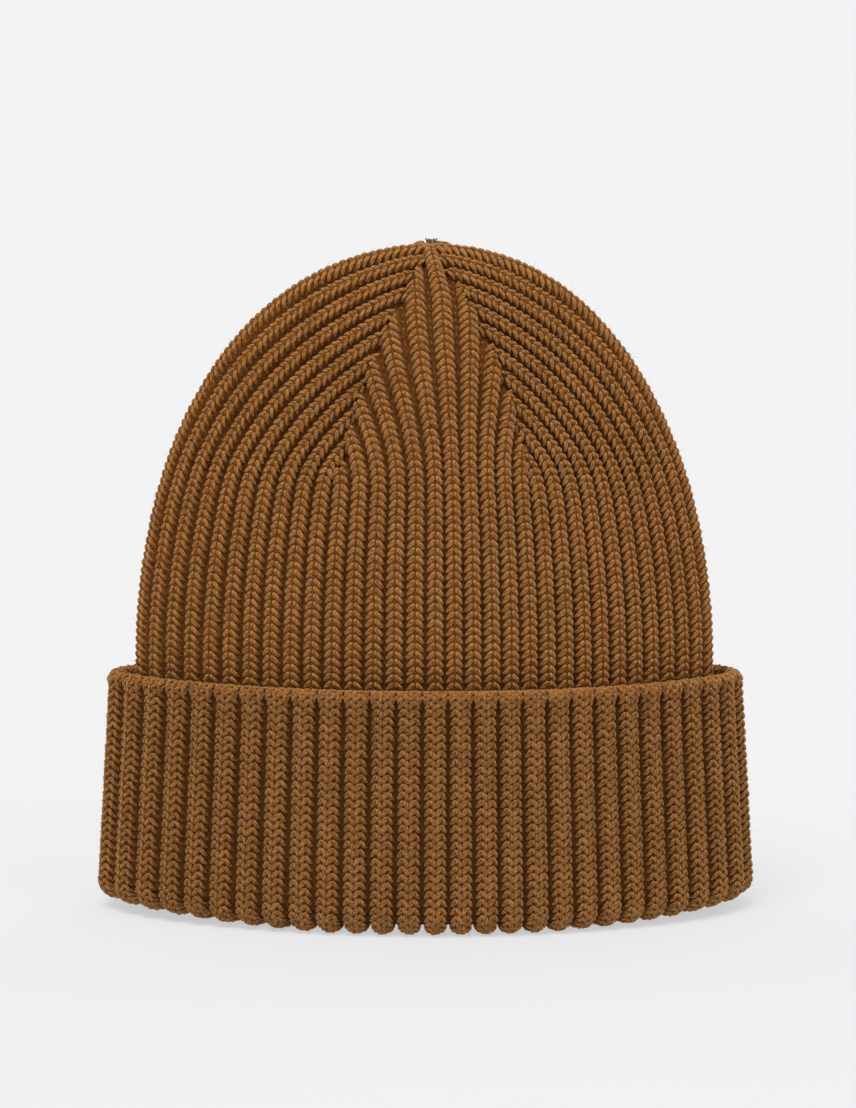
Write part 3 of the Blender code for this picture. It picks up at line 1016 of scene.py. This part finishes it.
def fibre_mesh(legs):
    """Loose fibres, some to each leg: thin curved hairs that stand out of the yarn.

    A fibre of length s goes s * (way * t + bend * t^2) from its root, and thins by 0.8 * t."""
    chosen = rng.integers(0, len(legs[0]), int(FIBRES_PER_LEG * len(legs[0])))
    base, across, up, out, start, end, shift, half, relief, length, radius = (
        part[chosen] for part in legs[:11])
    count = len(chosen)
    u = rng.uniform(0.1, 0.9, count)
    x = start + (end - start) * u
    fall = rib_round(x - shift, half, relief) + radius
    root = base + across * x[:, None] + up * (length * (u - 0.5))[:, None] - out * fall[:, None]
    lean = rng.normal(0, FIBRE_LEAN, (4, count, 1))
    way = unit(out + across * (lean[0] + np.sign(x)[:, None] * 0.5) + up * lean[1])
    bend = across * lean[2] + up * lean[3]
    size = rng.uniform(SHORTEST_FIBRE, LONGEST_FIBRE, count)[:, None, None]
    t = np.linspace(0, 1, FIBRE_RINGS)[None, :, None]
    centre = root[:, None] + size * (way[:, None] * t + FIBRE_BEND * bend[:, None] * t ** 2)
    psi = np.arange(FIBRE_SIDES) * math.pi / 2
    ring = np.cos(psi)[:, None] * across[:, None] + np.sin(psi)[:, None] * up[:, None]
    girth = FIBRE * (1 - 0.8 * t)[..., None]
    points = (centre[:, :, None] + girth * ring[:, None]).reshape(-1, 3)
    top = FIBRE_SIDES * (FIBRE_RINGS - 1)
    faces = np.concatenate([grid_quads(FIBRE_RINGS, FIBRE_SIDES, True),
                            [[3, 2, 1, 0], [top, top + 1, top + 2, top + 3]]])
    quads = repeat_faces(faces, count, FIBRE_SIDES * FIBRE_RINGS)
    return points, quads, np.full(len(points), 0.8), np.zeros((quads.size, 2))


# %% Crown pieces
cloths = {"body_tube": body_cloth()}
for face in ("front", "back"):
    cloths[f"gore_{face}"] = gore_cloth(face)
for side in ("right", "left"):
    cloths[f"gore_{side}"] = side_cloth(side)
stitched = {}


def joined(*groups):
    """Legs of several kinds as one list of arrays."""
    return [np.concatenate(parts) for parts in zip(*groups)]


def add_stitches(name, node, legs, material):
    """One piece of stitches and one of their loose fibres, which stand for a node together with the
    node's cloth."""
    for piece in (make_mesh(name + "_stitches", *leg_mesh(*legs), material),
                  make_mesh(name + "_fuzz", *fibre_mesh(legs), material)):
        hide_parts(node)
        stitched.setdefault(node, []).append(piece)
    print(name, "has", len(legs[0]), "legs")


def crown_yarn(face, gore, from_run, to_run):
    """Legs and purl bars of the middle gore's ribs or the side ribs, between two runs."""
    ribs = crown_legs(crown_stitches(face, gore), face, gore, from_run, to_run)
    bars = purl_bars(crown_stitches(face, gore, True), gore, from_run, to_run)
    return joined(ribs, bars)


def half_of(legs, side):
    """The legs on one side of the hat's middle."""
    mine = (legs[0][:, 0] > TIP_LEAN) == (side == "right")
    return [part[mine] for part in legs]


TO_TIP = 1               # a run of a metre, past the end of every line
for face in ("front", "back"):
    below = joined(crown_yarn(face, True, 0, DART_RUN), crown_yarn(face, False, 0, DART_RUN))
    middle = crown_yarn(face, True, DART_RUN, TO_TIP)
    sides = crown_yarn(face, False, DART_RUN, TO_TIP)
    add_stitches(f"gore_{face}", f"gore_{face}", middle, painted_light_crown_wool)
    for side in ("right", "left"):
        add_stitches(f"body_{face}_{side}", "body_tube", half_of(below, side), painted_light_crown_wool)
        add_stitches(f"gore_{side}_{face}", f"gore_{side}", half_of(sides, side), painted_light_crown_wool)

# %% [markdown]
# ## The pieces of the cuff
#
# The band is one strip of knitting, folded double: the cast-on edge on top, the outer layer, the
# fold that is the hat's rim, and the inner layer, which the outer one hides. Stitches are laid
# where the band can be seen, from the edge to most of the way round the fold.

# %% Cuff pieces
FIRST_STITCH = 0.001
PATH_STEP = 0.0005
CUFF_NUMBERS = {"front": np.arange(-13, 15), "back": np.arange(-13, 14)}
for name, from_run, to_run, rows in (("cast_on_edge", 0.0, FACE_RUN, 24),
                                     ("cuff_outer", FACE_RUN, FOLD_RUN, 40),
                                     ("cuff_fold", FOLD_RUN, INNER_RUN, 20),
                                     ("cuff_inner", INNER_RUN, CUFF_RUNS[-1], 16)):
    cloths[name] = cuff_cloth(name + "_cloth", from_run, to_run, rows)
stitched_runs = np.arange(FIRST_STITCH, FOLD_RUN + 0.8 * (INNER_RUN - FOLD_RUN), PATH_STEP)
edge_runs = np.arange(FIRST_STITCH, TOP_RUN + 0.009, PATH_STEP)
for face, numbers in CUFF_NUMBERS.items():
    ribs = cuff_legs(face, numbers, stitched_runs)
    valleys = valley_legs(face, numbers, edge_runs)
    for node, low, high, material in (("cast_on_edge", 0, FACE_RUN, painted_light_edge_wool),
                                      ("cuff_outer", FACE_RUN, FOLD_RUN, cuff_wool),
                                      ("cuff_fold", FOLD_RUN, INNER_RUN, cuff_wool)):
        mine = [[part[(legs[-1] >= low) & (legs[-1] < high)] for part in legs[:-1]]
                for legs in (ribs, valleys)]
        add_stitches(f"{node}_{face}", node, joined(*mine), material)


# %% [markdown]
# ## The joining yarns
#
# The darts, the back seams, the link between the body and the cuff, and the drawn ring at the tip
# are yarns of three plies, wound round a path on the inside of the knitting. A few short ends of
# the drawn yarn stand out at the tip.


# %% Yarns
PLY_PLACE = 0.52         # from the yarn's middle to a ply's, as a part of the yarn's radius
PLY_RADIUS = 0.5


def strands(path, radius, closed=False, plies=3, lay=0.0060):
    """Plies wound round a path: each is a tube of six sides, one turn to every lay. Two directions
    square to the path carry a circle for the plies' places and one for each ply's own girth."""
    if closed:
        before, after = np.roll(path, 1, axis=0), np.roll(path, -1, axis=0)
    else:
        before = np.concatenate([path[:1], path[:-1]])
        after = np.concatenate([path[1:], path[-1:]])
    tangent = unit(after - before)
    length = walked(path)
    outward = path - np.array([TIP_LEAN, 0, 0])
    outward[:, 2] = 0
    first = unit(outward - (outward * tangent).sum(1, keepdims=True) * tangent)
    second = np.cross(tangent, first)
    turns = round(length[-1] / lay) / length[-1]
    ply = np.arange(plies)[:, None] / plies
    phase = 2 * math.pi * (length[None, :] * turns + ply)[..., None]
    centre = path[None] + PLY_PLACE * radius * (np.cos(phase) * first + np.sin(phase) * second)
    psi = np.linspace(0, 2 * math.pi, SIDES, endpoint=False)[None, :, None]
    ring = PLY_RADIUS * radius * (np.cos(psi) * first[:, None] + np.sin(psi) * second[:, None])
    points = (centre[:, :, None] + ring[None]).reshape(-1, 3)
    count = len(path)
    faces = grid_quads(count, SIDES, True, looped=closed)
    row = np.arange(len(faces) // SIDES)[:, None]
    u = np.broadcast_to(np.arange(SIDES)[None, :] / SIDES, (len(row), SIDES))
    v = np.broadcast_to(length[row] / CROWN_ROW, (len(row), SIDES))
    corners = np.stack([np.stack([u + a / SIDES, v + b * 0.3], axis=-1)
                        for a, b in ((0, 0), (1, 0), (1, 1), (0, 1))], axis=2).reshape(-1, 2)
    if not closed:
        top = (count - 1) * SIDES
        caps = np.array([[3, 2, 1, 0], [5, 4, 3, 0], [top, top + 1, top + 2, top + 3],
                         [top, top + 3, top + 4, top + 5]])
        faces = np.concatenate([faces, caps])
        corners = np.concatenate([corners, np.zeros((caps.size, 2))])
    quads = repeat_faces(faces, plies, count * SIDES)
    return points, quads, np.full(len(points), 0.5), np.tile(corners, (plies, 1))


def bundle(groups):
    """Several yarns as one mesh: each one's face numbers start after the points before it."""
    starts = np.cumsum([0] + [len(group[0]) for group in groups[:-1]])
    points, quads, tones, uvs = zip(*groups)
    return (np.concatenate(points), np.concatenate([q + n for q, n in zip(quads, starts)]),
            np.concatenate(tones), np.concatenate(uvs))


def add_yarn(name, node, mesh_parts, material=seam_wool):
    """One piece of yarn that stands for a node."""
    piece = make_mesh(name, *mesh_parts, material)
    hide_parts(node)
    return piece


# %% Seams
SEAM_YARN = 0.0008
LINK_YARN = 0.0011
INSIDE = 0.0054          # how deep a seam yarn lies under the crown's face
DARTS_END = 0.93         # the climb where the dart seams stop, and the back seam
BACK_SEAM_ENDS = 0.90
CUFF_SEAM_DEPTH = CROWN_KNIT + 0.0012        # how deep the band's seam lies
LINK_DEPTH = CROWN_KNIT + 0.0014


def inside_path(angle, run):
    """A line on the crown's face, sunk along its normals to the inside of the knitting."""
    return crown_point(angle, run) - INSIDE * face_normal(crown_point, angle, run)


dart_rows = np.arange(BASE_ROW, int(np.argmax(CLIMB > DARTS_END)))
for face in ("front", "back"):
    for side, sign in (("right", 1), ("left", -1)):
        angle = angle_of(sign * DART_SHARES[dart_rows], dart_rows, face)
        add_yarn(f"dart_{face}_{side}_yarn", f"dart_seam_{face}_{side}",
                 strands(inside_path(angle, RUNS[dart_rows]), SEAM_YARN))
run = RUNS[(HEIGHTS > JOIN + 0.0030) & (CLIMB < BACK_SEAM_ENDS)]
add_yarn("back_seam_crown_yarn", "back_seam_crown",
         strands(inside_path(np.full(len(run), -math.pi / 2), run), SEAM_YARN))
level = np.linspace(0.0070, JOIN - 0.0040, 90)
add_yarn("back_seam_cuff_yarn", "back_seam_cuff",
         strands(hat_point(-math.pi / 2, level, -CUFF_SEAM_DEPTH), SEAM_YARN))
turn = np.linspace(0, 2 * math.pi, 400, endpoint=False)
add_yarn("linking_yarn", "linking_seam",
         strands(hat_point(turn, JOIN + 0.0005, -LINK_DEPTH), LINK_YARN, closed=True))

# %% The drawn ring and the ends at the tip
ring_low, ring_high = (np.array(corner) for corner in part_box("gather_ring"))
ring_half = (ring_high - ring_low) / 2 - SEAM_YARN
turn = turn[::8]
ring_path = (ring_high + ring_low) / 2 + np.stack(
    [ring_half[0] * np.cos(turn), ring_half[1] * np.sin(turn), 0 * turn], axis=1)
gather = add_yarn("gather_yarn", "gather_ring",
                  strands(ring_path, SEAM_YARN, closed=True, lay=0.004))
TIP_ENDS = 6
TIP_YARN = 0.00060
knot_low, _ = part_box("crown_knot")


def tip_end(k):
    """A short end of yarn: it leans away from the tip as t^1.6 and rises as a sine of 1.9 t."""
    away = 2 * math.pi * (k + 0.3) / TIP_ENDS
    t = np.linspace(0, 1, 9)
    out = 0.0004 + 0.0013 * t ** 1.6
    rise = (0.0034 - 0.0003 * (k % 3)) * np.sin(1.9 * t)
    path = np.stack([TIP_LEAN + out * math.cos(away), 0.55 * out * math.sin(away),
                     knot_low.z + rise], axis=1)
    return strands(path, TIP_YARN, lay=0.003)


add_yarn("tip_ends", "crown_knot", bundle([tip_end(k) for k in range(TIP_ENDS)]), painted_light_crown_wool)
print("the tip has", TIP_ENDS, "short ends, the drawn ring lies at", np.round(ring_low[2], 4))

# %% [markdown]
# ## What the cloths rest on
#
# Knitting bends and stretches. Each cloth's node of the frame is hidden, and how the cloth is held
# and what it rests on are listed; these lists are not put to further use.

# %% Hide the cloths' nodes and list what they rest on
HELD = {"body_tube": "draped", "gore_front": "gathered", "gore_back": "gathered",
        "gore_right": "gathered", "gore_left": "gathered", "cast_on_edge": "folded",
        "cuff_outer": "folded", "cuff_fold": "folded", "cuff_inner": "folded"}
RESTS = {"body_tube": ["cuff_inner"], "cast_on_edge": ["cuff_outer"], "cuff_outer": ["cuff_fold"],
         "cuff_fold": ["cuff_inner"], "cuff_inner": ["cuff_fold"]}
for node, piece in cloths.items():
    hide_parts(node)
    under = [cloths[name] for name in RESTS.get(node, ["body_tube"])]
    if HELD[node] == "gathered":
        under.append(gather)

# %% [markdown]
# ## Camera, floor and light
#
# The floor is a wide shallow bowl, so that no view has a hard horizon. Part of its brightness is
# its own, which keeps it pale and even and the shadow on it soft.


# %% Floor
BOWL = 8.0               # radius of the circle along which the floor's rim curves up


def make_stage():
    """A round floor, flat in the middle, whose rim curves up as part of a large circle."""
    turn = np.linspace(0, math.pi / 4, 25)
    radius = np.concatenate([[0.0001, 1.0], 2.0 + BOWL * np.sin(turn)])
    height = np.concatenate([[0.0, 0.0], BOWL - BOWL * np.cos(turn)])
    around = np.linspace(2 * math.pi, 0, 96, endpoint=False)
    x = radius[:, None] * np.cos(around)
    y = radius[:, None] * np.sin(around)
    z = np.repeat(height[:, None], len(around), axis=1)
    points = np.stack([x, y, z], axis=-1).reshape(-1, 3)
    mesh = bpy.data.meshes.new("floor")
    mesh.from_pydata(points.tolist(), [], grid_quads(len(radius), len(around), True).tolist())
    mesh.shade_smooth()
    paint = Graph("floor paint")
    paint.constants(Base_Color=(0.235, 0.235, 0.235, 1.0), Roughness=0.95, Specular_IOR_Level=0.0,
                    Emission_Color=(0.86, 0.86, 0.87, 1.0), Emission_Strength=0.635)
    mesh.materials.append(paint.material)
    in_scene("floor", mesh)


make_stage()


# %% Camera and lights
CAMERA_PLACE = (0.00125, -0.92, 0.197)
CAMERA_AIM = (0.00125, 0.0, 0.111)


def look_from(place, aim):
    """The turn that points a camera or a light from a place at an aim."""
    toward = np.array(aim) - np.array(place)
    flat = math.hypot(toward[0], toward[1])
    return (math.pi / 2 + math.atan2(toward[2], flat), 0.0, math.atan2(-toward[0], toward[1]))


def add_sun(name, place, power, spread):
    """A light from far away in the direction of a place, as wide as a softbox."""
    lamp = bpy.data.lights.new(name, "SUN")
    lamp.energy = power
    lamp.angle = math.radians(spread)
    in_scene(name, lamp).rotation_euler = look_from(place, (0, 0, 0))


camera_data = bpy.data.cameras.new("camera")
camera_data.lens = 96.2
camera = in_scene("camera", camera_data)
camera.location = CAMERA_PLACE
camera.rotation_euler = look_from(CAMERA_PLACE, CAMERA_AIM)
bpy.context.scene.camera = camera
add_sun("key", (-0.45, -1.05, 2.5), 2.15, 34)
add_sun("right fill", (1.5, -1.0, 1.2), 0.45, 50)
add_sun("back left", (-1.5, 1.4, 1.2), 0.5, 50)
add_sun("back right", (1.2, 1.6, 1.2), 0.5, 50)
world = bpy.data.worlds.new("studio")
world.use_nodes = True
sky = world.node_tree.nodes["Background"]
sky.inputs["Color"].default_value = (0.84, 0.84, 0.84, 1.0)
sky.inputs["Strength"].default_value = 0.72
bpy.context.scene.world = world
bpy.context.scene.view_settings.view_transform = "Standard"
print("camera at", CAMERA_PLACE, "with a lens of", camera_data.lens, "mm")
